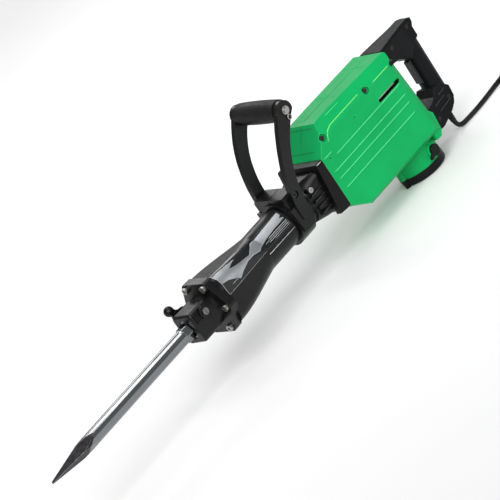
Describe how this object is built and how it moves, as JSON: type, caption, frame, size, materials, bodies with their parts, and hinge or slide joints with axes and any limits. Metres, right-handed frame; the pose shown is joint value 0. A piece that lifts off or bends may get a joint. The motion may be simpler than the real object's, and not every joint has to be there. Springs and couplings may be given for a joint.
{
  "type": "demolition hammer",
  "caption": "Electric demolition hammer with a hexagonal-shank point chisel, a transverse motor under a moulded cover, a swivelling side handle, a rear D-handle and a mains cord.",
  "frame": {"origin": "centre of the hexagonal tool socket's mouth, on the hammer axis", "axes": "+X along the hammer axis from the tool socket to the rear handle, +Z away from the motor's tail cap"},
  "size_m": [1.372, 0.1912, 0.3401],
  "materials": {
    "black_casting": "satin black enamel on cast alloy",
    "black_plastic": "fine-grained moulded black nylon",
    "green_plastic": "semi-gloss green nylon",
    "chisel_steel": "ground and polished tool steel",
    "tool_steel": "hardened and ground steel",
    "gear_steel": "cut and hardened steel",
    "bearing_steel": "polished bearing steel",
    "laminated_steel": "stacked laminations",
    "aluminium": "machined die casting",
    "copper": "enamelled copper",
    "brass": "plain brass",
    "carbon": "pressed carbon",
    "bright_screw": "zinc-plated steel",
    "dark_screw": "blackened steel",
    "label": "plain silver and black pattern",
    "rubber": "moulded rubber",
    "grip_rubber": "soft matte grip rubber",
    "cord_rubber": "rubber sheath",
    "plug_plastic": "moulded plug",
    "switch_plastic": "smooth moulded plastic"
  },
  "bodies": {
    "housing": {"front_cover": "black_casting", "front_cover_bolts": "bright_screw", "tool_holder": "tool_steel", "barrel_case": "black_casting", "label_plate": "label", "cylinder_sleeve": "tool_steel", "damper_ring": "rubber", "crank_case": "black_casting", "crank_case_bolts": "bright_screw", "oil_plug": "bright_screw", "bezel": "black_plastic", "gear_plate": "aluminium", "gear_cover": "aluminium", "ball_bearings": "bearing_steel", "stator_core": "laminated_steel", "field_coils": "copper", "motor_housing": "green_plastic", "brush_holders": "brass", "carbon_brushes": "carbon", "brush_caps": "black_plastic", "tail_cap": "black_plastic", "tail_cap_screws": "bright_screw", "cover_near": "green_plastic", "cover_far": "green_plastic", "cover_screws": "dark_screw", "cover_clips": "black_plastic", "handle_near": "black_plastic", "handle_far": "black_plastic", "handle_screws": "dark_screw", "switch_block": "switch_plastic", "cord_guard": "rubber", "cord": "cord_rubber", "cord_coil": "cord_rubber", "plug_body": "plug_plastic", "plug_pins": "brass"},
    "chisel": {"chisel": "chisel_steel"},
    "retainer": {"retainer_pin": "tool_steel", "retainer_lever": "black_casting"},
    "side_handle": {"arm_near": "black_casting", "arm_far": "black_casting", "clamp_screws": "dark_screw", "side_grip": "grip_rubber", "grip_bolt": "bright_screw", "split_pin": "bright_screw"},
    "armature": {"armature_shaft": "tool_steel", "armature_core": "laminated_steel", "armature_winding": "copper", "commutator": "copper", "cooling_fan": "switch_plastic"},
    "idler": {"idler_shaft": "tool_steel", "idler_gear": "gear_steel"},
    "crank": {"crankshaft": "tool_steel", "crank_gear": "gear_steel"},
    "conrod": {"conrod": "gear_steel", "piston_pin": "tool_steel"},
    "piston": {"piston": "aluminium"},
    "striker": {"striker": "tool_steel"},
    "intermediate_hammer": {"intermediate_hammer": "tool_steel"},
    "trigger": {"trigger": "switch_plastic"},
    "lock_button": {"lock_button": "switch_plastic"}
  },
  "joints": [
    {"name": "chisel_slide", "type": "slide", "parent": "housing", "child": "chisel", "axis": [1, 0, 0], "range_m": [-0.022, 0]},
    {"name": "retainer_turn", "type": "hinge", "parent": "housing", "child": "retainer", "pos_m": [0.031, 0, 0.015], "axis": [0, 1, 0], "range_deg": [0, 80]},
    {"name": "side_handle_turn", "type": "hinge", "parent": "housing", "child": "side_handle", "pos_m": [0.32, 0, 0], "axis": [1, 0, 0], "continuous": true},
    {"name": "armature_spin", "type": "hinge", "parent": "housing", "child": "armature", "pos_m": [0.602, 0, 0], "axis": [0, 0, 1], "continuous": true},
    {"name": "idler_spin", "type": "hinge", "parent": "housing", "child": "idler", "pos_m": [0.557, 0, 0], "axis": [0, 0, 1], "continuous": true},
    {"name": "crank_spin", "type": "hinge", "parent": "housing", "child": "crank", "pos_m": [0.502, 0, 0], "axis": [0, 0, 1], "continuous": true},
    {"name": "conrod_turn", "type": "hinge", "parent": "crank", "child": "conrod", "pos_m": [0.487, 0, 0], "axis": [0, 0, 1], "continuous": true},
    {"name": "piston_slide", "type": "slide", "parent": "housing", "child": "piston", "axis": [1, 0, 0], "range_m": [0, 0.03]},
    {"name": "striker_slide", "type": "slide", "parent": "housing", "child": "striker", "axis": [1, 0, 0], "range_m": [-0.029, 0.057]},
    {"name": "intermediate_slide", "type": "slide", "parent": "housing", "child": "intermediate_hammer", "axis": [1, 0, 0], "range_m": [0, 0.012]},
    {"name": "trigger_pull", "type": "slide", "parent": "housing", "child": "trigger", "axis": [1, 0, 0], "range_m": [0, 0.004], "stiffness_N_per_m": 900, "springref_m": -0.004},
    {"name": "lock_button_push", "type": "slide", "parent": "housing", "child": "lock_button", "axis": [0, -1, 0], "range_m": [0, 0.003], "stiffness_N_per_m": 600, "springref_m": -0.003}
  ],
  "couplings": [
    {"joint": "idler_spin", "follows": "armature_spin", "ratio": -0.2766},
    {"joint": "crank_spin", "follows": "armature_spin", "ratio": 0.07719},
    {"joint": "conrod_turn", "follows": "armature_spin", "ratio": -0.07719}
  ]
}
